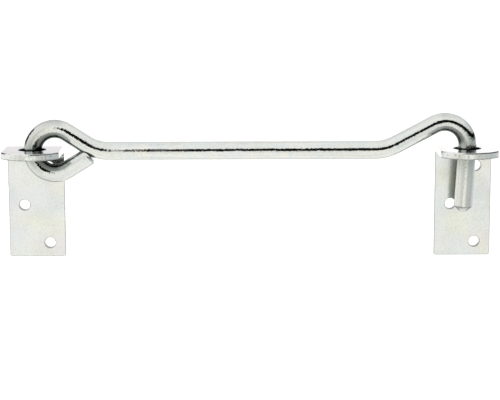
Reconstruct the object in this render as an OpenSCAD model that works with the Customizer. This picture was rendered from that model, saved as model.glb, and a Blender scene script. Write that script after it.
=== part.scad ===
// Hook and eye latch: a bent rod hook hanging in an eye plate and dropped into a strike plate.
// Millimetres, +X from the eye plate to the strike plate, +Y into the wall, +Z up.
// The origin is the centre of the strike plate's back face.

/* [Plates] */
// Distance between the two tab holes, centre to centre
hole_pitch = 190; // [140:1:400]
// Width of each angle plate
plate_w = 25; // [22:0.5:28]
// Height of each angle plate, from its lower edge to the top of its tab
plate_h = 50; // [46:1:80]
// Thickness of the sheet that the plates are pressed from
plate_t = 3; // [1.5:0.1:4]
// Inner radius of the bend between plate and tab
bend_inner_r = 1.5; // [0.5:0.1:3]

/* [Tabs] */
// Distance from the plate's back face to the centre of the tab hole
tab_reach = 15; // [13:0.5:22]
// Radius of the tab's round front edge, about the tab hole
tab_nose_r = 15; // [14:0.5:18]
// Room all round between the rod and the tab hole
tab_hole_play = 2; // [1.6:0.1:3]

/* [Screw holes] */
// Diameter of the screw holes
screw_hole_d = 4.8; // [3:0.1:6]
// Distance of the screw holes to either side of the plate's middle
screw_hole_offset = 5.5; // [4:0.1:8]
// Height of the lowest screw hole above the plate's lower edge
screw_hole_edge = 6.2; // [4:0.1:8]
// Upward step from one screw hole to the next
screw_hole_step = 17.2; // [7:0.1:17.5]

/* [Rod and eye] */
// Diameter of the rod that the hook is bent from
rod_d = 8; // [6:0.1:9]
// Extra thickness of the rod in its bends
bend_swell = 0.1; // [0.06:0.02:0.3]
// Room between the eye's inside and the tab's round edge as the hook swings round it
eye_play = 0.6; // [0.4:0.1:4]
// How far the hook hangs back from the middle of the tab holes, towards the wall
hook_sit = 1.6; // [0:0.1:1.6]
// Height of the bar's middle above the middle of the tabs
hook_rise = 0.65; // [0:0.05:1]
// Slope at which the rod leaves the top of the eye, in degrees below level
neck_slope = 33; // [30:1:42]
// Radius of the bend that brings the rod level behind the eye
neck_bend_r = 19; // [16:0.5:22]
// Slope at which the rod's end comes up from under the eye, in degrees
tail_slope = 32; // [26:1:38]
// Slope of the end face that closes the eye against the rod, in degrees below level
tail_face_slope = 26; // [20:1:29]
// Gap left where the eye closes
tail_gap = 0.3; // [0.1:0.1:1]
// Length of rod past the middle of the closing face
tail_over = 1.1; // [0.3:0.1:2]

/* [Hook end] */
// Slope of the rise up to the hook, in degrees
rise_slope = 28; // [20:1:35]
// Radius of the bend at the foot of the rise
rise_bend_r = 22; // [16:0.5:30]
// Radius of the hook's crown
crown_r = 10; // [8:0.5:12]
// Height of the crown's centre above the bar
crown_lift = 2.3; // [1:0.1:4]
// Lean of the pin towards the bar on its way down, in degrees
pin_lean = 3; // [0:0.5:4]
// How far the pin stands past the middle of the strike plate's hole
pin_shift = 0.1; // [-0.5:0.1:0.2]
// Distance of the pin's tip below the bar's middle
pin_drop = 27.4; // [12:0.1:40]
// Height and width of the chamfer on the pin's tip
tip_chamfer = 2.4; // [0.5:0.1:2.8]

/* [Hidden] */
$fn = 96;
// Overlap of cutting tools past the faces that they cut
cut = 1;
// Length by which a straight run of rod reaches into the thicker bends at its ends
lap = 0.2;
zinc = "gainsboro";
bright_zinc = "silver";

rod_r = rod_d / 2;
bend_outer_r = bend_inner_r + plate_t;
tab_hole_r = rod_r + tab_hole_play;
tab_under = plate_h / 2 - plate_t;
tab_mid = tab_under + plate_t / 2;

// The eye is just wide enough for the tab's round edge to pass inside it.
eye_r = (tab_nose_r + eye_play + rod_r) / 2;

// The hook's centre line is laid out in x and z, from the eye plate's hole axis at the bar's height.
function along(angle) = [cos(angle), sin(angle)];
function across(angle) = [-sin(angle), cos(angle)];
function dot(p, q) = p[0] * q[0] + p[1] * q[1];

eye_centre = [eye_r, 0];
neck_angle = 90 - neck_slope;
tail_angle = tail_slope - 90;
neck_start = eye_centre + eye_r * along(neck_angle);
neck_fall = neck_bend_r * (1 - cos(neck_slope));
neck_len = (neck_start[1] - neck_fall) / sin(neck_slope);
bar_start = neck_start[0] + neck_len * cos(neck_slope) + neck_bend_r * sin(neck_slope);
neck_centre = [bar_start, neck_bend_r];

// The eye's free end is cut flat, parallel to the underside of the neck's bend.
tail_start = eye_centre + eye_r * along(tail_angle);
face_point = neck_centre - (neck_bend_r + rod_r + tail_gap) * across(-tail_face_slope);
face_reach = dot(face_point - tail_start, across(-tail_face_slope));
tail_to_face = face_reach / dot(along(tail_slope), across(-tail_face_slope));
tail_len = tail_to_face + tail_over;
eye_turn = 360 + tail_angle - neck_angle;

// The crown carries the pin to the strike plate's hole.
crown_end_z = crown_lift - crown_r * sin(pin_lean);
crown_x = hole_pitch + pin_shift + crown_end_z * tan(pin_lean) - crown_r * cos(pin_lean);
crown_centre = [crown_x, crown_lift];
crown_start = crown_centre + crown_r * along(90 + rise_slope);
rise_len = (crown_start[1] - rise_bend_r * (1 - cos(rise_slope))) / sin(rise_slope);
rise_foot = crown_start - rise_len * along(rise_slope);
bar_end = rise_foot[0] - rise_bend_r * sin(rise_slope);
crown_turn = 90 + rise_slope + pin_lean;
pin_len = (crown_end_z + pin_drop) / cos(pin_lean);

// The rod is bent step by step: each run or turn carries on from the end of the one before it.
// In a step's own frame the rod heads along +Z and a turn bends it towards +X.
module run(length) {
  translate([0, 0, -lap]) cylinder(d = rod_d, h = length + 2 * lap);
  translate([0, 0, length]) children();
}

module turn(radius, angle) translate([radius, 0, 0]) {
  rotate([90, 0, 180]) rotate_extrude(angle = angle) translate([radius, 0])
    circle(d = rod_d + bend_swell);
  rotate([0, angle, 0]) translate([-radius, 0, 0]) children();
}

// Makes the next turn bend the other way
module other_way() rotate([0, 0, 180]) children();

// Free end of the eye, cut flat where it closes against the neck
module tail() {
  cutter = 4 * rod_d;
  difference() {
    translate([0, 0, -lap]) cylinder(d = rod_d, h = tail_len + lap);
    translate([0, 0, tail_to_face]) rotate([0, 90 - tail_slope - tail_face_slope, 0])
      translate([-cutter / 2, -cutter / 2, 0]) cube(cutter);
  }
}

// Pin that drops into the strike plate, with its chamfered tip
module pin() {
  shank_len = pin_len - tip_chamfer;
  translate([0, 0, -lap]) cylinder(d = rod_d, h = shank_len + lap);
  translate([0, 0, shank_len]) cylinder(r1 = rod_r, r2 = rod_r - tip_chamfer, h = tip_chamfer);
}

module eye_end() turn(neck_bend_r, neck_slope) run(neck_len)
  other_way() turn(eye_r, eye_turn) tail();

module hook_end() turn(rise_bend_r, rise_slope) run(rise_len)
  other_way() turn(crown_r, crown_turn) pin();

module hook() color(bright_zinc)
  translate([bar_start - hole_pitch, hook_sit - tab_reach, tab_mid + hook_rise]) rotate([0, -90, 0]) {
    eye_end();
    rotate([0, 180, 0]) other_way() run(bar_end - bar_start) hook_end();
  }

// Quarter bend that joins the upright sheet to the tab
module sheet_bend()
  translate([-plate_w / 2, -bend_outer_r, plate_h / 2 - bend_outer_r]) rotate([0, 90, 0]) rotate([0, 0, 90])
    rotate_extrude(angle = 90) translate([bend_inner_r, 0]) square([plate_t, plate_w]);

// Tab with its front edge round about the hole
module tab() {
  translate([-plate_w / 2, -tab_reach, tab_under]) cube([plate_w, tab_reach - bend_outer_r, plate_t]);
  intersection() {
    translate([0, -tab_reach, tab_under]) cylinder(r = tab_nose_r, h = plate_t);
    translate([-plate_w / 2, -tab_reach - tab_nose_r - cut, tab_under])
      cube([plate_w, tab_nose_r + cut, plate_t]);
  }
}

// Bent sheet plate, with its back face centred on the origin
module angle_plate() difference() {
  union() {
    translate([-plate_w / 2, -plate_t, -plate_h / 2]) cube([plate_w, plate_t, plate_h - bend_outer_r]);
    sheet_bend();
    tab();
  }
  translate([0, -tab_reach, tab_under - cut]) cylinder(r = tab_hole_r, h = plate_t + 2 * cut);
  // The screw holes stand in a zigzag: right, left, right, counted from the lower edge.
  for (row = [0 : 2]) {
    side = row == 1 ? -1 : 1;
    translate([side * screw_hole_offset, cut, -plate_h / 2 + screw_hole_edge + row * screw_hole_step])
      rotate([90, 0, 0]) cylinder(d = screw_hole_d, h = plate_t + 2 * cut);
  }
}

module eye_plate() color(zinc) translate([-hole_pitch, 0, 0]) angle_plate();
module strike_plate() color(zinc) angle_plate();

eye_plate();
hook();
strike_plate();
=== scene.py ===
import bmesh
import bpy
import math
from mathutils import Matrix, Vector


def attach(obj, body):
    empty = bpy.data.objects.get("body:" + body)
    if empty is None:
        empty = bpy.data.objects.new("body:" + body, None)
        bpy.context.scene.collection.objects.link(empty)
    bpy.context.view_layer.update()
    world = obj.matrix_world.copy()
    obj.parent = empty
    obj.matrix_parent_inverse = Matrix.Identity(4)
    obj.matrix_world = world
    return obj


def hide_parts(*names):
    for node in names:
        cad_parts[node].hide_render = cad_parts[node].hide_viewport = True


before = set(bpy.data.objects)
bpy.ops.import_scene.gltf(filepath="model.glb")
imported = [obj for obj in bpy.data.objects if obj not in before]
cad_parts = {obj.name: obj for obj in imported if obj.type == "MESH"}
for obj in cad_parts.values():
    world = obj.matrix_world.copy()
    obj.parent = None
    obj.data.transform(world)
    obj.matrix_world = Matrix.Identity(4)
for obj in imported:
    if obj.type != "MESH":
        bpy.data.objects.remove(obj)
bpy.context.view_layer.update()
mm = 0.001
noiseSpread = (0.3, 0.7)   # most of a noise lies between these
sharpAngle = 40            # degrees between two faces that make their edge sharp
touch = 1e-4               # mm from a plane within which a corner lies in it
print("frame loaded:", sorted(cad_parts))


def hexColour(code):
    # sRGB hex to the linear colour that the shader sockets take
    parts = [int(code[i:i + 2], 16) / 255 for i in (1, 3, 5)]
    return [c / 12.92 if c <= 0.04045 else ((c + 0.055) / 1.055) ** 2.4 for c in parts] + [1.0]


def addNode(tree, kind, inputs, **settings):
    node = tree.nodes.new(kind)
    for name, value in settings.items():
        setattr(node, name, value)
    for socket, value in inputs.items():
        if isinstance(value, bpy.types.NodeSocket):
            tree.links.new(value, node.inputs[socket])
        else:
            node.inputs[socket].default_value = value
    return node


def fillRamp(ramp, stops):
    elements = ramp.color_ramp.elements
    while len(elements) < len(stops):
        elements.new(1.0)
    for element, (place, colour) in zip(elements, stops):
        element.position = place
        element.color = colour


def newMaterial(name):
    material = bpy.data.materials.new(name)
    material.use_nodes = True
    material.node_tree.nodes.clear()
    return material, material.node_tree


# Painted shade inside tight bends and holes: the colour darkens where ambient occlusion finds little open room
nookShade = {"start": 0.86, "full": 0.52, "rays": 12}   # by how much of the room a spot sees


def paintNookShade(tree, colour, look):
    clear = addNode(tree, "ShaderNodeAmbientOcclusion", {"Distance": look["nookMm"] * mm}, samples=nookShade["rays"])
    shut = addNode(tree, "ShaderNodeMapRange", {"Value": clear.outputs["AO"], "From Min": nookShade["start"],
                                                "From Max": nookShade["full"]})
    return addNode(tree, "ShaderNodeMix", {"Factor": shut.outputs["Result"], "A": colour,
                                           "B": hexColour(look["nookShadeTint"])},
                   data_type="RGBA", blend_type="MULTIPLY").outputs["Result"]


def linkPiece(name, bm, materials):
    mesh = bpy.data.meshes.new(name)
    bm.to_mesh(mesh)
    bm.free()
    for material in materials:
        mesh.materials.append(material)
    piece = bpy.data.objects.new(name, mesh)
    bpy.context.scene.collection.objects.link(piece)
    return piece


# Bright zinc plating on cold drawn steel rod: almost a mirror, with a cloudy
# cream and blue cast and faint lines along the rod that make reflections waver
rodFinish = {
    "tints": [(0.20, "#afb1b1"), (0.31, "#c1c3c1"), (0.46, "#c8c8c5"), (0.58, "#c3c6c7"), (0.72, "#cbcac5")],
    "wear": "#e2e2e0",     # along the drawing lines
    "outside": "#d8d8db",  # painted shade, in patches, on the outside of bends, where a bend stretched the rod
    "inside": "#7d827d",   # where it squeezed it
    "stretch": (0.1, 0.4),   # at which those two painted shades start and are full
    "patches": (0.35, 0.65),
    "fleck": "#f5f6f5",
    "flecks": (0.42, 0.68),
    # painted shade in the rod's tight bends, by ambient occlusion within nookMm
    "nookShadeTint": "#b6bab6",
    "nookMm": 22.0,
    "cloudMm": 14.0,
    "streakMm": 1.5,       # width of the drawing lines, far finer on the real rod
    "streakStretch": 0.06,
    "rippleMm": 7.0,
    "peelMm": 0.9,
    "roughness": (0.05, 0.11),
    "rippleHeight": 0.16 * mm,
    "peelHeight": 0.065 * mm,
    "streakHeight": 0.018 * mm,
}


def makeZincRod(look):
    material, tree = newMaterial("zincPlatedDrawnRod")
    space = addNode(tree, "ShaderNodeAttribute", {}, attribute_name="rodSpace").outputs["Vector"]
    drawn = addNode(tree, "ShaderNodeMapping", {"Vector": space, "Scale": (look["streakStretch"], 1, 1)})
    cloud = addNode(tree, "ShaderNodeTexNoise",
                    {"Vector": space, "Scale": 1 / (look["cloudMm"] * mm), "Detail": 3.0, "Roughness": 0.5})
    streak = addNode(tree, "ShaderNodeTexNoise",
                     {"Vector": drawn.outputs["Vector"], "Scale": 1 / (look["streakMm"] * mm), "Detail": 2.0})
    ripple = addNode(tree, "ShaderNodeTexNoise",
                     {"Vector": space, "Scale": 1 / (look["rippleMm"] * mm), "Detail": 1.0})
    peel = addNode(tree, "ShaderNodeTexNoise",
                   {"Vector": space, "Scale": 1 / (look["peelMm"] * mm), "Detail": 2.0})
    tint = addNode(tree, "ShaderNodeValToRGB", {"Fac": cloud.outputs["Fac"]})
    fillRamp(tint, [(place, hexColour(code)) for place, code in look["tints"]])
    worn = addNode(tree, "ShaderNodeMix", {"Factor": streak.outputs["Fac"], "A": tint.outputs["Color"],
                                           "B": hexColour(look["wear"])}, data_type="RGBA", blend_type="MULTIPLY")
    bend = addNode(tree, "ShaderNodeAttribute", {}, attribute_name="rodBend").outputs["Fac"]
    few, many = look["flecks"]
    fleck = addNode(tree, "ShaderNodeMapRange", {"Value": peel.outputs["Fac"], "From Min": few, "From Max": many})
    colour = addNode(tree, "ShaderNodeMix", {"Factor": fleck.outputs["Result"], "A": worn.outputs["Result"],
                                             "B": hexColour(look["fleck"])}, data_type="RGBA", blend_type="MULTIPLY")
    colour = colour.outputs["Result"]
    start, full = look["stretch"]
    few, many = look["patches"]
    # painted shade on both sides of each bend, growing with the rod's squeeze and stretch there
    for side, sign in (("outside", 1), ("inside", -1)):
        share = addNode(tree, "ShaderNodeMapRange", {"Value": bend, "From Min": sign * start,
                                                     "From Max": sign * full})
        if side == "outside":   # the painted shade on the outside of bends is broken into patches
            share = addNode(tree, "ShaderNodeMapRange", {"Value": ripple.outputs["Fac"], "From Min": few,
                                                         "From Max": many, "To Max": share.outputs["Result"]})
        colour = addNode(tree, "ShaderNodeMix", {"Factor": share.outputs["Result"], "A": colour,
                                                 "B": hexColour(look[side])},
                         data_type="RGBA", blend_type="MULTIPLY").outputs["Result"]
    # painted shade in the rod's nooks
    base = paintNookShade(tree, colour, look)
    low, high = look["roughness"]
    gloss = addNode(tree, "ShaderNodeMapRange", {"Value": streak.outputs["Fac"], "From Min": noiseSpread[0],
                                                 "From Max": noiseSpread[1], "To Min": low, "To Max": high})
    swell = addNode(tree, "ShaderNodeBump", {"Height": ripple.outputs["Fac"], "Distance": look["rippleHeight"]})
    skin = addNode(tree, "ShaderNodeBump", {"Height": peel.outputs["Fac"], "Distance": look["peelHeight"],
                                            "Normal": swell.outputs["Normal"]})
    lines = addNode(tree, "ShaderNodeBump", {"Height": streak.outputs["Fac"], "Distance": look["streakHeight"],
                                             "Normal": skin.outputs["Normal"]})
    shader = addNode(tree, "ShaderNodeBsdfPrincipled", {"Base Color": base, "Metallic": 1.0,
                                                        "Roughness": gloss.outputs["Result"],
                                                        "Normal": lines.outputs["Normal"]})
    addNode(tree, "ShaderNodeOutputMaterial", {"Surface": shader.outputs["BSDF"]})
    return material


# Bright zinc plating on pressed steel sheet: satin, clouded with cream, blue
# and lilac from the passivating bath, with a fine grain
sheetFinish = {
    "ground": "#c0c2c1",
    # tint, size in mm, strength, place in the noise
    "clouds": [("#c7c6b7", 17.0, 0.5, (0.129, 0.0, 0.115)), ("#bac0c6", 13.0, 0.6, (0.439, 0.17, 0.617)),
               ("#c2bcc3", 21.0, 0.5, (0.749, 0.34, 1.147))],
    "cloudEdge": (0.38, 0.68),
    "speck": "#979b98",
    "specks": (0.45, 0.80),
    "speckShare": 0.30,
    "grainMm": 0.7,        # as coarse as the render needs to show it
    "waveMm": 9.0,
    "roughness": (0.13, 0.24),
    "waveHeight": 0.06 * mm,
    "grainHeight": 0.008 * mm,
}


def makeZincSheet(look):
    material, tree = newMaterial("zincPlatedPressedSheet")
    space = addNode(tree, "ShaderNodeTexCoord", {}).outputs["Object"]
    colour = hexColour(look["ground"])
    thin, thick = look["cloudEdge"]
    for tint, size, strength, place in look["clouds"]:
        moved = addNode(tree, "ShaderNodeMapping", {"Vector": space, "Location": place})
        cloud = addNode(tree, "ShaderNodeTexNoise", {"Vector": moved.outputs["Vector"], "Scale": 1 / (size * mm),
                                                     "Detail": 3.0, "Roughness": 0.45})
        share = addNode(tree, "ShaderNodeMapRange", {"Value": cloud.outputs["Fac"], "From Min": thin,
                                                     "From Max": thick, "To Max": strength},
                        interpolation_type="SMOOTHSTEP")
        colour = addNode(tree, "ShaderNodeMix", {"Factor": share.outputs["Result"], "A": colour,
                                                 "B": hexColour(tint)}, data_type="RGBA").outputs["Result"]
    grain = addNode(tree, "ShaderNodeTexNoise",
                    {"Vector": space, "Scale": 1 / (look["grainMm"] * mm), "Detail": 3.0})
    wave = addNode(tree, "ShaderNodeTexNoise", {"Vector": space, "Scale": 1 / (look["waveMm"] * mm), "Detail": 1.0})
    few, many = look["specks"]
    speck = addNode(tree, "ShaderNodeMapRange", {"Value": grain.outputs["Fac"], "From Min": few, "From Max": many,
                                                 "To Max": look["speckShare"]})
    grey = addNode(tree, "ShaderNodeMix", {"Factor": speck.outputs["Result"], "A": colour,
                                           "B": hexColour(look["speck"])}, data_type="RGBA")
    low, high = look["roughness"]
    gloss = addNode(tree, "ShaderNodeMapRange", {"Value": wave.outputs["Fac"], "From Min": noiseSpread[0],
                                                 "From Max": noiseSpread[1], "To Min": low, "To Max": high})
    swell = addNode(tree, "ShaderNodeBump", {"Height": wave.outputs["Fac"], "Distance": look["waveHeight"]})
    skin = addNode(tree, "ShaderNodeBump", {"Height": grain.outputs["Fac"], "Distance": look["grainHeight"],
                                            "Normal": swell.outputs["Normal"]})
    shader = addNode(tree, "ShaderNodeBsdfPrincipled", {"Base Color": grey.outputs["Result"], "Metallic": 1.0,
                                                        "Roughness": gloss.outputs["Result"],
                                                        "Normal": skin.outputs["Normal"]})
    addNode(tree, "ShaderNodeOutputMaterial", {"Surface": shader.outputs["BSDF"]})
    return material


# The same plating over the sheet's sheared edges: smooth where the punch went in, greyer
# and torn in short streaks where the steel broke away, the torn band darkened further as painted shade
edgeFinish = {
    "tints": [(0.25, "#939597"), (0.50, "#c6c7c6")],
    # torn steel, darkened beyond its own tone as painted shade along the edges next to the sheet's inner side
    "tornAndShadow": "#48494c",
    "tornDepth": (2.45 * mm, 3.05 * mm),   # below the sheet's outer side
    "tornShare": 0.85,
    "ragged": 0.6 * mm,                    # up and down from that depth
    # painted shade in the edges' nooks and hole rims, by ambient occlusion within nookMm
    "nookShadeTint": "#8c908d",
    "nookMm": 5.0,
    "tearMm": 1.1,
    "roughness": (0.12, 0.26),
    "tearHeight": 0.03 * mm,
}


def makeShearedEdge(look):
    material, tree = newMaterial("zincPlatedShearedEdge")
    space = addNode(tree, "ShaderNodeTexCoord", {}).outputs["Object"]
    tear = addNode(tree, "ShaderNodeTexNoise", {"Vector": space, "Scale": 1 / (look["tearMm"] * mm), "Detail": 3.0,
                                                "Roughness": 0.5})
    tint = addNode(tree, "ShaderNodeValToRGB", {"Fac": tear.outputs["Fac"]})
    fillRamp(tint, [(place, hexColour(code)) for place, code in look["tints"]])
    depth = addNode(tree, "ShaderNodeAttribute", {}, attribute_name="sheetDepth").outputs["Fac"]
    ragged = addNode(tree, "ShaderNodeMath", {0: tear.outputs["Fac"], 1: 2 * look["ragged"], 2: -look["ragged"]},
                     operation="MULTIPLY_ADD")
    broken = addNode(tree, "ShaderNodeMath", {0: depth, 1: ragged.outputs["Value"]}, operation="ADD")
    shallow, deep = look["tornDepth"]
    share = addNode(tree, "ShaderNodeMapRange", {"Value": broken.outputs["Value"], "From Min": shallow,
                                                 "From Max": deep, "To Max": look["tornShare"]})
    steel = addNode(tree, "ShaderNodeMix", {"Factor": share.outputs["Result"], "A": tint.outputs["Color"],
                                            "B": hexColour(look["tornAndShadow"])}, data_type="RGBA")
    low, high = look["roughness"]
    gloss = addNode(tree, "ShaderNodeMapRange", {"Value": tear.outputs["Fac"], "From Min": noiseSpread[0],
                                                 "From Max": noiseSpread[1], "To Min": high, "To Max": low})
    rough = addNode(tree, "ShaderNodeBump", {"Height": tear.outputs["Fac"], "Distance": look["tearHeight"]})
    # the edge colour takes painted shade in its nooks
    shader = addNode(tree, "ShaderNodeBsdfPrincipled", {"Base Color": paintNookShade(tree, steel.outputs["Result"], look),
                                                        "Metallic": 1.0, "Roughness": gloss.outputs["Result"],
                                                        "Normal": rough.outputs["Normal"]})
    addNode(tree, "ShaderNodeOutputMaterial", {"Surface": shader.outputs["BSDF"]})
    return material


zincRod = makeZincRod(rodFinish)
zincSheet = makeZincSheet(sheetFinish)
shearedEdge = makeShearedEdge(edgeFinish)
print("finishes made")


# The hook is one rod, bent step by step from its closing end at the eye to the pin's tip (mm, degrees)
hookRod = {
    "rodRadius": 4.0,
    "sides": 64,
    "start": (-190.0, -13.4, 24.15),   # eye plate's hole axis, hook's plane, bar's height
    "eyeRadius": 9.8,
    "neckSlope": 33.0,
    "neckRadius": 19.0,
    "tailSlope": 32.0,
    "tailFaceSlope": 26.0,
    "tailGap": 0.3,
    "tailOver": 1.1,
    "riseSlope": 28.0,
    "riseRadius": 22.0,
    "crownRadius": 10.0,
    "crownLift": 2.3,
    "pinLean": 3.0,
    "pinShift": 0.1,
    "pinDrop": 27.4,
    "holePitch": 190.0,
    "tipChamfer": 2.4,
    "tipRound": 0.7,
    "shoulderRound": 0.175,
    "tipDepth": 3.0,       # the cut tip takes the sheet's torn band and its painted shade at this depth, less so towards its end
    "tipFade": 0.25,
    "tailRound": 1.3,
    "copeRun": 12.0,       # length of bar that the tail is pressed against
    "copeReach": 8.0,
    "copeEase": 0.15,
    "turnStep": 3.0,
    "runStep": 4.0,
    "tintRings": 8,        # rings over which a bend's painted shade sets in
}


def planeVector(degrees):
    return Vector((math.cos(math.radians(degrees)), 0, math.sin(math.radians(degrees))))


def planRod(h):
    # the same layout as the solid: lengths of the straight runs from the slopes and radii
    def sine(degrees):
        return math.sin(math.radians(degrees))

    def cosine(degrees):
        return math.cos(math.radians(degrees))

    eyeCentre = Vector((h["eyeRadius"], 0, 0))
    neckStart = eyeCentre + h["eyeRadius"] * planeVector(90 - h["neckSlope"])
    neckLength = (neckStart.z - h["neckRadius"] * (1 - cosine(h["neckSlope"]))) / sine(h["neckSlope"])
    barStart = neckStart.x + neckLength * cosine(h["neckSlope"]) + h["neckRadius"] * sine(h["neckSlope"])
    tailStart = eyeCentre + h["eyeRadius"] * planeVector(h["tailSlope"] - 90)
    faceNormal = planeVector(90 - h["tailFaceSlope"])
    neckCentre = Vector((barStart, 0, h["neckRadius"]))
    faceSpot = neckCentre - faceNormal * (h["neckRadius"] + h["rodRadius"] + h["tailGap"])
    tailRun = planeVector(h["tailSlope"])
    tailToFace = (faceSpot - tailStart).dot(faceNormal) / tailRun.dot(faceNormal)
    tailLength = tailToFace + h["tailOver"]
    crownEnd = h["crownLift"] - h["crownRadius"] * sine(h["pinLean"])
    crownX = h["holePitch"] + h["pinShift"] + crownEnd * math.tan(math.radians(h["pinLean"]))
    crownX -= h["crownRadius"] * cosine(h["pinLean"])
    crownStart = Vector((crownX, 0, h["crownLift"])) + h["crownRadius"] * planeVector(90 + h["riseSlope"])
    riseLength = (crownStart.z - h["riseRadius"] * (1 - cosine(h["riseSlope"]))) / sine(h["riseSlope"])
    barEnd = crownStart.x - riseLength * cosine(h["riseSlope"]) - h["riseRadius"] * sine(h["riseSlope"])
    pinLength = (crownEnd + h["pinDrop"]) / cosine(h["pinLean"])
    eyeTurn = 360 - (90 - h["neckSlope"]) + h["tailSlope"] - 90
    steps = [("turn", h["eyeRadius"], -eyeTurn), ("run", neckLength, 0),
             ("turn", h["neckRadius"], h["neckSlope"]), ("run", barEnd - barStart, 0),
             ("turn", h["riseRadius"], h["riseSlope"]), ("run", riseLength, 0),
             ("turn", h["crownRadius"], -(90 + h["riseSlope"] + h["pinLean"])),
             ("run", pinLength - h["tipChamfer"], 0)]
    return {"steps": steps, "tailStart": tailStart, "tailLength": tailLength, "neckStart": neckStart,
            "faceSpot": faceSpot}


def sharpEdges(bm, near=None, reach=None):
    found = [e for e in bm.edges if len(e.link_faces) == 2 and e.calc_face_angle() > math.radians(sharpAngle)]
    if near is None:
        return found
    return [e for e in found if all((v.co - near).length < reach for v in e.verts)]


def facesAt(bm, axis, place):
    return [f for f in bm.faces if all(abs(v.co[axis] - place) < touch for v in f.verts)]


def pushFaces(bm, faces, vec):
    grown = bmesh.ops.extrude_face_region(bm, geom=faces)["geom"]
    bmesh.ops.translate(bm, verts=[g for g in grown if isinstance(g, bmesh.types.BMVert)], vec=vec)


def takeCut(blank, tool):
    # the blank minus the tool, as a new bmesh
    boolean = blank.modifiers.new("cut", "BOOLEAN")
    boolean.object, boolean.operation, boolean.solver = tool, "DIFFERENCE", "EXACT"
    evaluated = blank.evaluated_get(bpy.context.evaluated_depsgraph_get())
    bm = bmesh.new()
    bm.from_mesh(evaluated.to_mesh())
    evaluated.to_mesh_clear()
    for used in (blank, tool):
        usedMesh = used.data
        bpy.data.objects.remove(used)
        bpy.data.meshes.remove(usedMesh)
    bmesh.ops.remove_doubles(bm, verts=bm.verts, dist=0.001)
    return bm


def startRing(bm, h, radius, spot, heading):
    lay = Matrix.Translation(spot) @ Matrix.Rotation(math.radians(90 - heading), 4, "Y")
    verts = bmesh.ops.create_circle(bm, cap_ends=True, radius=radius, segments=h["sides"], matrix=lay)["verts"]
    return list({e for v in verts for e in v.link_edges})


def growRing(bm, edges):
    grown = bmesh.ops.extrude_edge_only(bm, edges=edges)["geom"]
    verts = {g for g in grown if isinstance(g, bmesh.types.BMVert)}
    edges = [g for g in grown if isinstance(g, bmesh.types.BMEdge) and set(g.verts) <= verts]
    return list(verts), edges


def sweepRod(bm, h, edges, spot, heading, steps, space=None, bend=None):
    passed = 0.0
    for kind, size, turn in steps:
        if kind == "run":
            count = max(1, round(size / h["runStep"]))
            advance = size / count
        else:
            pivot = spot + math.copysign(size, turn) * planeVector(heading + 90)
            count = max(1, round(abs(turn) / h["turnStep"]))
            advance = math.radians(abs(turn)) * size / count
        for number in range(count):
            ease = min(1.0, (number + 1) / h["tintRings"], (count - number - 1) / h["tintRings"])
            verts, edges = growRing(bm, edges)
            if kind == "run":
                bmesh.ops.translate(bm, verts=verts, vec=planeVector(heading) * advance)
                spot = spot + planeVector(heading) * advance
            else:
                swing = Matrix.Rotation(math.radians(-turn / count), 3, "Y")
                bmesh.ops.rotate(bm, verts=verts, cent=pivot, matrix=swing)
                spot = pivot + swing @ (spot - pivot)
                heading += turn / count
            passed += advance
            if space:
                for vert in verts:
                    vert[space].x = passed * mm
                    out = (vert.co - pivot) * Vector((1, 0, 1)) if kind == "turn" else None
                    vert[bend] = (out.length / size - 1) * ease if out else 0.0
    print("rod swept, mm:", round(passed, 1))
    return edges, spot, heading


def makeTail(h, plan):
    # free end of the eye, with a rounded corner, pressed to the shape of the neck that it closes on
    bm = bmesh.new()
    edges = startRing(bm, h, h["rodRadius"], plan["tailStart"], h["tailSlope"])
    edges = sweepRod(bm, h, edges, plan["tailStart"], h["tailSlope"], [("run", plan["tailLength"], 0)])[0]
    bmesh.ops.edgeloop_fill(bm, edges=edges)
    bmesh.ops.bevel(bm, geom=edges, offset=h["tailRound"], segments=6, profile=0.5, affect="EDGES", material=-1)
    bmesh.ops.recalc_face_normals(bm, faces=bm.faces)
    blank = linkPiece("tailBlank", bm, [])
    bm = bmesh.new()
    edges = startRing(bm, h, h["rodRadius"] + h["tailGap"], plan["neckStart"], -h["neckSlope"])
    neck = plan["steps"][1:3] + [("run", h["copeRun"], 0)]
    edges = sweepRod(bm, h, edges, plan["neckStart"], -h["neckSlope"], neck)[0]
    bmesh.ops.edgeloop_fill(bm, edges=edges)
    bmesh.ops.recalc_face_normals(bm, faces=bm.faces)
    bm = takeCut(blank, linkPiece("neckRoom", bm, []))
    bmesh.ops.bevel(bm, geom=sharpEdges(bm, plan["faceSpot"], h["copeReach"]), offset=h["copeEase"], segments=2,
                    profile=0.5, affect="EDGES", material=-1, clamp_overlap=True)
    axis = planeVector(h["tailSlope"])
    cap = [f for f in bm.faces if all(abs((v.co - plan["tailStart"]).dot(axis)) < 1e-3 for v in f.verts)]
    bmesh.ops.delete(bm, geom=cap, context="FACES_ONLY")
    return bm


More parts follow.
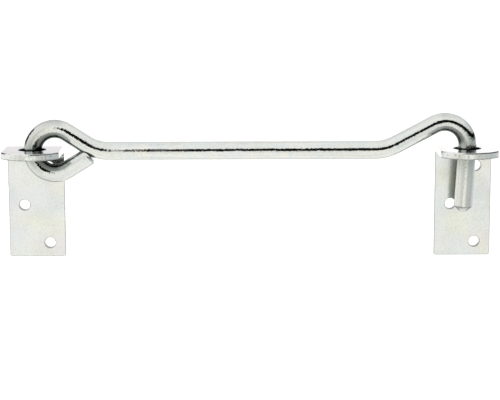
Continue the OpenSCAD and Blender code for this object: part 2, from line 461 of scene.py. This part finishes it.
def makeHook(h):
    plan = planRod(h)
    bm = makeTail(h, plan)
    space = bm.verts.layers.float_vector.new("rodSpace")   # along the rod and across it, as if it were straight
    bend = bm.verts.layers.float.new("rodBend")   # stretch of the skin
    heading = h["tailSlope"] + 180
    across = planeVector(heading + 90)
    for vert in bm.verts:
        offset = vert.co - plan["tailStart"]
        vert[space] = Vector((offset.dot(planeVector(heading)), offset.dot(across), offset.y)) * mm
    edges = [e for e in bm.edges if e.is_boundary]
    edges, spot, heading = sweepRod(bm, h, edges, plan["tailStart"], heading, plan["steps"], space, bend)

    # pin's tip: chamfer, flat end and rounded edges
    verts, tipEdges = growRing(bm, edges)
    shrink = 1 - h["tipChamfer"] / h["rodRadius"]
    bmesh.ops.scale(bm, verts=verts, vec=(shrink,) * 3, space=Matrix.Translation(-spot))
    bmesh.ops.translate(bm, verts=verts, vec=planeVector(heading) * h["tipChamfer"])
    bmesh.ops.edgeloop_fill(bm, edges=tipEdges)
    bmesh.ops.bevel(bm, geom=tipEdges, offset=h["tipRound"], segments=4, profile=0.5, affect="EDGES", material=-1)
    bmesh.ops.bevel(bm, geom=edges, offset=h["shoulderRound"], segments=2, profile=0.5, affect="EDGES", material=-1)

    bmesh.ops.remove_doubles(bm, verts=bm.verts, dist=0.0005)
    bmesh.ops.recalc_face_normals(bm, faces=bm.faces)
    depth = bm.verts.layers.float.new("sheetDepth")
    for vert in bm.verts:
        past = (vert.co - spot).dot(planeVector(heading)) + h["shoulderRound"]
        vert[depth] = (h["tipDepth"] - h["tipFade"] * past) * mm if past > 0 else 0.0
    for face in bm.faces:
        face.smooth = True
        face.material_index = int(all(v[depth] > 0 for v in face.verts))
    bmesh.ops.translate(bm, verts=bm.verts, vec=h["start"])
    bmesh.ops.scale(bm, verts=bm.verts, vec=(mm,) * 3)
    print("hook open edges:", len([e for e in bm.edges if len(e.link_faces) != 2]))
    piece = linkPiece("hookRod", bm, [zincRod, shearedEdge])
    weigh = piece.modifiers.new("flatEnds", "WEIGHTED_NORMAL")
    weigh.weight = 60
    return piece


hook = makeHook(hookRod)
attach(hook, "hook")
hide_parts("hook")
print("hook made")


# Both plates are the same pressing: a sheet bent over into a tab with a round nose (mm)
anglePlate = {
    "width": 25.0,
    "height": 50.0,
    "thick": 3.0,
    "bendInner": 1.5,
    "bendSteps": 14,
    "tabReach": 15.0,
    "noseRadius": 15.0,
    "noseSides": 180,
    "tabHole": 6.0,
    "screwHole": 2.4,
    "screwSide": 5.5,
    "screwEdge": 6.2,
    "screwStep": 17.2,
    "holeSides": 64,
    "cornerRound": 1.0,
    "burnish": 0.55,        # upper part of the tab's edges, which the punch drew in
    "lean": 0.12,
    "rollOver": 0.2,
    "edgeRound": 0.22,
    "flatSlope": 0.97,      # a face steeper than this through the sheet is one of its two sides
}


def sheetDepth(spot, p):
    # how deep a point lies under the sheet's outer side, which is the plate's back and the tab's top
    outer = p["bendInner"] + p["thick"]
    level = p["height"] / 2 - outer
    if spot.z < level:
        return -spot.y
    if spot.y < -outer:
        return p["height"] / 2 - spot.z
    return outer - math.hypot(spot.y + outer, spot.z - level)


def makePlateHoles(p):
    bm = bmesh.new()
    under = p["height"] / 2 - p["thick"]
    upright = Matrix.Translation((0, -p["tabReach"], under + p["thick"] / 2))
    bmesh.ops.create_cone(bm, cap_ends=True, segments=p["holeSides"] * 2, radius1=p["tabHole"], radius2=p["tabHole"],
                          depth=p["thick"] * 3, matrix=upright)
    for row in range(3):
        side = -1 if row == 1 else 1
        height = -p["height"] / 2 + p["screwEdge"] + row * p["screwStep"]
        lying = Matrix.Translation((side * p["screwSide"], -p["thick"] / 2, height))
        lying = lying @ Matrix.Rotation(math.pi / 2, 4, "X")
        bmesh.ops.create_cone(bm, cap_ends=True, segments=p["holeSides"], radius1=p["screwHole"],
                              radius2=p["screwHole"], depth=p["thick"] * 3, matrix=lying)
    return linkPiece("plateHoles", bm, [])


def makeNose(p):
    # round front of the tab: a disc about the hole, cut to the plate's width and at the hole's middle
    bm = bmesh.new()
    under = p["height"] / 2 - p["thick"]
    bmesh.ops.create_circle(bm, cap_ends=True, radius=p["noseRadius"], segments=p["noseSides"],
                            matrix=Matrix.Translation((0, -p["tabReach"], under)))
    half = p["width"] / 2
    cuts = (((half, 0, 0), (1, 0, 0)), ((-half, 0, 0), (-1, 0, 0)), ((0, -p["tabReach"], 0), (0, 1, 0)))
    for spot, outward in cuts:
        bmesh.ops.bisect_plane(bm, geom=bm.verts[:] + bm.edges[:] + bm.faces[:], plane_co=spot, plane_no=outward,
                               clear_outer=True)
    pushFaces(bm, bm.faces[:], (0, 0, p["thick"]))
    bmesh.ops.delete(bm, geom=facesAt(bm, 1, -p["tabReach"]), context="FACES_ONLY")
    mesh = bpy.data.meshes.new("nose")
    bm.to_mesh(mesh)
    bm.free()
    return mesh


def makePlate(name, middleX, p):
    bm = bmesh.new()
    outer = p["bendInner"] + p["thick"]
    bmesh.ops.create_grid(bm, x_segments=1, y_segments=1, size=0.5)
    bmesh.ops.scale(bm, verts=bm.verts, vec=(p["width"], p["thick"], 1))
    bmesh.ops.translate(bm, verts=bm.verts, vec=(0, -p["thick"] / 2, -p["height"] / 2))
    pushFaces(bm, bm.faces[:], (0, 0, p["height"] - outer))
    corners = [e for e in bm.edges if abs(e.verts[0].co.y - e.verts[1].co.y) > 1 and e.verts[0].co.z < 0]
    bmesh.ops.bevel(bm, geom=corners, offset=p["cornerRound"], segments=5, profile=0.5, affect="EDGES", material=-1)

    # the sheet turns over the bend and runs out as the tab
    level = p["height"] / 2 - outer
    top = facesAt(bm, 2, level)
    topGeom = top + [e for f in top for e in f.edges] + [v for f in top for v in f.verts]
    bent = bmesh.ops.spin(bm, geom=topGeom, cent=(0, -outer, level), axis=(1, 0, 0), angle=math.pi / 2,
                          steps=p["bendSteps"])["geom_last"]
    pushFaces(bm, [g for g in bent if isinstance(g, bmesh.types.BMFace)], (0, outer - p["tabReach"], 0))
    inside = facesAt(bm, 1, -outer) + facesAt(bm, 2, level)
    front = facesAt(bm, 1, -p["tabReach"])
    bmesh.ops.delete(bm, geom=list(set(inside + front)), context="FACES_ONLY")
    noseMesh = makeNose(p)
    bm.from_mesh(noseMesh)
    bpy.data.meshes.remove(noseMesh)
    bmesh.ops.remove_doubles(bm, verts=bm.verts, dist=0.001)
    bmesh.ops.recalc_face_normals(bm, faces=bm.faces)
    blank = linkPiece("blank", bm, [])

    # holes are punched, then every sheared edge is eased
    bm = takeCut(blank, makePlateHoles(p))
    bmesh.ops.dissolve_limit(bm, angle_limit=math.radians(0.2), verts=bm.verts, edges=bm.edges)
    line = p["height"] / 2 - p["burnish"]
    bmesh.ops.bisect_plane(bm, geom=bm.verts[:] + bm.edges[:] + bm.faces[:], plane_co=(0, 0, line),
                           plane_no=(0, 0, 1))
    for vert in bm.verts:   # the punch's side of the edges leans in
        if p["height"] / 2 - vert.co.z < 0.01 and vert.co.y < -outer - 0.01:
            sides = [f.normal for f in vert.link_faces if abs(f.normal.z) < 0.1]
            if sides:
                vert.co -= sum(sides, Vector()).normalized() * p["lean"]
    bmesh.ops.recalc_face_normals(bm, faces=bm.faces)
    rolled = [e for e in sharpEdges(bm) if all(sheetDepth(v.co, p) < 0.01 for v in e.verts)]
    bmesh.ops.bevel(bm, geom=rolled, offset=p["rollOver"], segments=5, profile=0.5, affect="EDGES",
                    material=-1, clamp_overlap=True)
    bmesh.ops.bevel(bm, geom=sharpEdges(bm), offset=p["edgeRound"], segments=2, profile=0.5, affect="EDGES",
                    material=-1, clamp_overlap=True)
    bmesh.ops.recalc_face_normals(bm, faces=bm.faces)

    # faces that lie across the sheet's thickness get the sheared finish
    depth = bm.verts.layers.float.new("sheetDepth")
    half = p["width"] / 2
    for vert in bm.verts:
        vert.co.x = min(half, max(-half, vert.co.x))
        vert[depth] = sheetDepth(vert.co, p) * mm
    nudge = 0.01
    for face in bm.faces:
        face.smooth = True
        spot = face.calc_center_median()
        step = face.normal * nudge
        slope = (sheetDepth(spot - step, p) - sheetDepth(spot + step, p)) / (2 * nudge)
        face.material_index = 1 if abs(slope) < p["flatSlope"] else 0
    for edge in bm.edges:
        edge.smooth = not all(abs(line - v.co.z) < 0.01 and v.co.y < -outer for v in edge.verts)
    print(name, "open edges:", len([e for e in bm.edges if len(e.link_faces) != 2]), "faces:", len(bm.faces))
    bmesh.ops.translate(bm, verts=bm.verts, vec=(middleX, 0, 0))
    bmesh.ops.scale(bm, verts=bm.verts, vec=(mm,) * 3)
    piece = linkPiece(name, bm, [zincSheet, shearedEdge])
    weigh = piece.modifiers.new("flatFaces", "WEIGHTED_NORMAL")
    weigh.weight = 80
    weigh.keep_sharp = True
    return piece


for name, node, middleX in (("eyePlateSheet", "eye_plate", -190.0), ("strikePlateSheet", "strike_plate", 0.0)):
    plate = makePlate(name, middleX, anglePlate)
    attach(plate, node)
    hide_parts(node)
print("plates made")


# Seamless paper: matt, nearly white, with the faintest mottle
floorPaper = {"level": -45 * mm, "half": 6.0, "tints": [(0.35, "#f3f3f1"), (0.65, "#f6f6f4")], "mottleMm": 60.0}


def makeFloor(f):
    material, tree = newMaterial("seamlessMattPaper")
    space = addNode(tree, "ShaderNodeTexCoord", {}).outputs["Object"]
    mottle = addNode(tree, "ShaderNodeTexNoise", {"Vector": space, "Scale": 1 / (f["mottleMm"] * mm), "Detail": 2.0})
    tint = addNode(tree, "ShaderNodeValToRGB", {"Fac": mottle.outputs["Fac"]})
    fillRamp(tint, [(place, hexColour(code)) for place, code in f["tints"]])
    shader = addNode(tree, "ShaderNodeBsdfPrincipled", {"Base Color": tint.outputs["Color"], "Roughness": 0.9,
                                                        "Specular IOR Level": 0.0})
    addNode(tree, "ShaderNodeOutputMaterial", {"Surface": shader.outputs["BSDF"]})
    bm = bmesh.new()
    bmesh.ops.create_grid(bm, x_segments=2, y_segments=2, size=f["half"],
                          matrix=Matrix.Translation((0, 0, f["level"])))
    floor = linkPiece("paperFloor", bm, [material])
    floor.visible_glossy = False   # the metal mirrors the tent alone


makeFloor(floorPaper)


# Black card before the camera: the thin dark line along the rod is its reflection (mm)
blackCard = {
    "colour": ("#050605", "#0a0b0a"),
    "pileMm": 25.0,
    "depth": -690.0,
    "corners": [(-228, 140), (-216, 50), (-190, -50), (-150, -60), (-95, 30), (-52, 15), (-9, -20), (80, 10),
                (330, 40), (330, 450), (-52, 440), (-95, 360), (-150, 390), (-214, 300), (-228, 250)],
}


def makeCard(c):
    material, tree = newMaterial("mattBlackCard")
    space = addNode(tree, "ShaderNodeTexCoord", {}).outputs["Object"]
    pile = addNode(tree, "ShaderNodeTexNoise", {"Vector": space, "Scale": 1 / (c["pileMm"] * mm)})
    deep, pale = c["colour"]
    tint = addNode(tree, "ShaderNodeMix", {"Factor": pile.outputs["Fac"], "A": hexColour(deep),
                                           "B": hexColour(pale)}, data_type="RGBA")
    shader = addNode(tree, "ShaderNodeBsdfPrincipled", {"Base Color": tint.outputs["Result"], "Roughness": 1.0,
                                                        "Specular IOR Level": 0.0})
    addNode(tree, "ShaderNodeOutputMaterial", {"Surface": shader.outputs["BSDF"]})
    bm = bmesh.new()
    bm.faces.new([bm.verts.new((x * mm, c["depth"] * mm, z * mm)) for x, z in c["corners"]])
    card = linkPiece("blackCard", bm, [material])
    card.visible_camera = card.visible_diffuse = card.visible_shadow = False   # only the metal sees it


makeCard(blackCard)


# A white light tent with a dark slit round its right side and a dark seam at the left
lightTent = {
    "glow": 1.85,
    "zenith": "#ecedec",
    "wall": "#f5f5f4",
    "under": "#f4f4f1",
    # tints of the walls, by degrees from the front
    "round": [(-180, "#ddd9dc"), (-172, "#d2ced1"), (-130, "#f6f6f6"), (-75, "#f3f3f2"), (-25, "#d6d7d0"),
              (-11, "#fbfbf8"), (11, "#f5f5f3"), (25, "#ced0c9"), (80, "#bac0c3"), (120, "#d0d3d5"),
              (158, "#d3d5d6"), (172, "#f1eeef"), (180, "#ddd7db")],
    # grey bands in the back, by sine of the height: the rod's rims mirror them
    "back": [(-0.95, "#ffffff"), (-0.80, "#d9dad9"), (-0.40, "#cacbca"), (-0.20, "#ffffff"), (0.22, "#ffffff"),
             (0.40, "#e2e3e4"), (0.80, "#ecedee"), (0.95, "#ffffff")],
    "slit": "#060706",
    "slitFoot": 0.03,      # sine of its height above the horizon
    # sine of the slit's upper edge, by degrees from the front
    "slitTop": [(-180, 0.0), (-134, 0.0), (-124, 0.65), (-100, 0.6), (-92, 0.0), (16, 0.0), (26, 0.52), (45, 0.45),
                (80, 0.32), (120, 0.24), (140, 0.0), (180, 0.0)],
    "slitSoft": 0.05,
    # where each part starts and is full: by sine of the height, and the last two towards the back
    "zenithFrom": (0.2, 0.9),
    "underFrom": (0.02, -0.08),
    "roundFrom": (0.7, 0.15),
    "bareFrom": (-0.3, -0.7),
    "plainFrom": (0.5, 0.9),
    "backFrom": (0.1, 0.5),
    "backdrop": "#fdfdfc",
}


def makeTent(t):
    world = bpy.data.worlds.new("lightTent")
    world.use_nodes = True
    bpy.context.scene.world = world
    tree = world.node_tree
    tree.nodes.clear()
    aim = addNode(tree, "ShaderNodeTexCoord", {}).outputs["Generated"]
    parts = addNode(tree, "ShaderNodeSeparateXYZ", {"Vector": aim})
    up = parts.outputs["Z"]
    near = addNode(tree, "ShaderNodeMath", {0: parts.outputs["Y"], 1: -1.0}, operation="MULTIPLY")
    turn = addNode(tree, "ShaderNodeMath", {0: parts.outputs["X"], 1: near.outputs["Value"]}, operation="ARCTAN2")
    bearing = addNode(tree, "ShaderNodeMapRange", {"Value": turn.outputs["Value"], "From Min": -math.pi,
                                                   "From Max": math.pi})
    dome = addNode(tree, "ShaderNodeMapRange", {"Value": up, "From Min": t["zenithFrom"][0],
                                                "From Max": t["zenithFrom"][1]})
    wall = addNode(tree, "ShaderNodeMix", {"Factor": dome.outputs["Result"], "A": hexColour(t["wall"]),
                                           "B": hexColour(t["zenith"])}, data_type="RGBA")
    low = addNode(tree, "ShaderNodeMapRange", {"Value": up, "From Min": t["underFrom"][0],
                                               "From Max": t["underFrom"][1]})
    room = addNode(tree, "ShaderNodeMix", {"Factor": low.outputs["Result"], "A": wall.outputs["Result"],
                                           "B": hexColour(t["under"])}, data_type="RGBA")
    sides = addNode(tree, "ShaderNodeValToRGB", {"Fac": bearing.outputs["Result"]})
    fillRamp(sides, [((degrees + 180) / 360, hexColour(code)) for degrees, code in t["round"]])
    level = addNode(tree, "ShaderNodeMapRange", {"Value": up, "From Min": t["roundFrom"][0],
                                                 "From Max": t["roundFrom"][1]})
    behind = addNode(tree, "ShaderNodeMapRange", {"Value": parts.outputs["Y"], "From Min": t["plainFrom"][0],
                                                  "From Max": t["plainFrom"][1]})
    plain = addNode(tree, "ShaderNodeMath", {0: low.outputs["Result"], 1: behind.outputs["Result"]},
                    operation="MULTIPLY")
    beneath = addNode(tree, "ShaderNodeMapRange", {"Value": up, "From Min": t["bareFrom"][0],
                                                   "From Max": t["bareFrom"][1]})
    bare = addNode(tree, "ShaderNodeMath", {0: plain.outputs["Value"], 1: beneath.outputs["Result"]},
                   operation="MAXIMUM")
    share = addNode(tree, "ShaderNodeMath", {0: level.outputs["Result"], 1: bare.outputs["Value"]},
                    operation="SUBTRACT", use_clamp=True)
    tinted = addNode(tree, "ShaderNodeMix", {"Factor": share.outputs["Value"], "A": room.outputs["Result"],
                                             "B": sides.outputs["Color"]}, data_type="RGBA", blend_type="MULTIPLY")
    height = addNode(tree, "ShaderNodeMapRange", {"Value": up, "From Min": -1.0, "From Max": 1.0})
    back = addNode(tree, "ShaderNodeValToRGB", {"Fac": height.outputs["Result"]})
    fillRamp(back, [((sine + 1) / 2, hexColour(code)) for sine, code in t["back"]])
    rear = addNode(tree, "ShaderNodeMapRange", {"Value": parts.outputs["Y"], "From Min": t["backFrom"][0],
                                                "From Max": t["backFrom"][1]})
    shaded = addNode(tree, "ShaderNodeMix", {"Factor": rear.outputs["Result"], "A": tinted.outputs["Result"],
                                             "B": back.outputs["Color"]}, data_type="RGBA", blend_type="MULTIPLY")
    tall = addNode(tree, "ShaderNodeValToRGB", {"Fac": bearing.outputs["Result"]})
    fillRamp(tall, [((degrees + 180) / 360, (top, top, top, 1.0)) for degrees, top in t["slitTop"]])
    below = addNode(tree, "ShaderNodeMath", {0: tall.outputs["Color"], 1: up}, operation="SUBTRACT")
    above = addNode(tree, "ShaderNodeMath", {0: up, 1: t["slitFoot"]}, operation="SUBTRACT")
    deep = addNode(tree, "ShaderNodeMath", {0: below.outputs["Value"], 1: above.outputs["Value"]},
                   operation="MINIMUM")
    slit = addNode(tree, "ShaderNodeMapRange", {"Value": deep.outputs["Value"], "From Min": 0.0,
                                                "From Max": t["slitSoft"]}, interpolation_type="SMOOTHSTEP")
    tent = addNode(tree, "ShaderNodeMix", {"Factor": slit.outputs["Result"], "A": shaded.outputs["Result"],
                                           "B": hexColour(t["slit"])}, data_type="RGBA")
    glow = addNode(tree, "ShaderNodeBackground", {"Color": tent.outputs["Result"], "Strength": t["glow"]})
    backdrop = addNode(tree, "ShaderNodeBackground", {"Color": hexColour(t["backdrop"])})
    seen = addNode(tree, "ShaderNodeLightPath", {}).outputs["Is Camera Ray"]
    both = addNode(tree, "ShaderNodeMixShader", {0: seen, 1: glow.outputs["Background"],
                                                 2: backdrop.outputs["Background"]})
    addNode(tree, "ShaderNodeOutputWorld", {"Surface": both.outputs["Shader"]})


makeTent(lightTent)
print("stage made")

# Camera at the height and distance that the picture's perspective gives
viewCamera = {
    "lens": 115.61,
    "sensor": 36.0,
    "clipStart": 0.01,                    # metres
    "place": (-99.06, -709.27, 124.32),   # mm
    "pitch": 9.963,                       # degrees, like the next two
    "yaw": 0.335,
    "roll": -0.138,
}
camera = bpy.data.objects.new("camera", bpy.data.cameras.new("camera"))
bpy.context.scene.collection.objects.link(camera)
camera.data.sensor_width = viewCamera["sensor"]
camera.data.lens = viewCamera["lens"]
camera.location = Vector(viewCamera["place"]) * mm
aim = Matrix.Rotation(math.radians(-viewCamera["yaw"]), 3, "Z")
aim = aim @ Matrix.Rotation(math.radians(90 - viewCamera["pitch"]), 3, "X")
aim = aim @ Matrix.Rotation(math.radians(viewCamera["roll"]), 3, "Z")
camera.rotation_euler = aim.to_euler()
camera.data.clip_start = viewCamera["clipStart"]
bpy.context.scene.camera = camera
bpy.context.scene.view_settings.view_transform = "Standard"
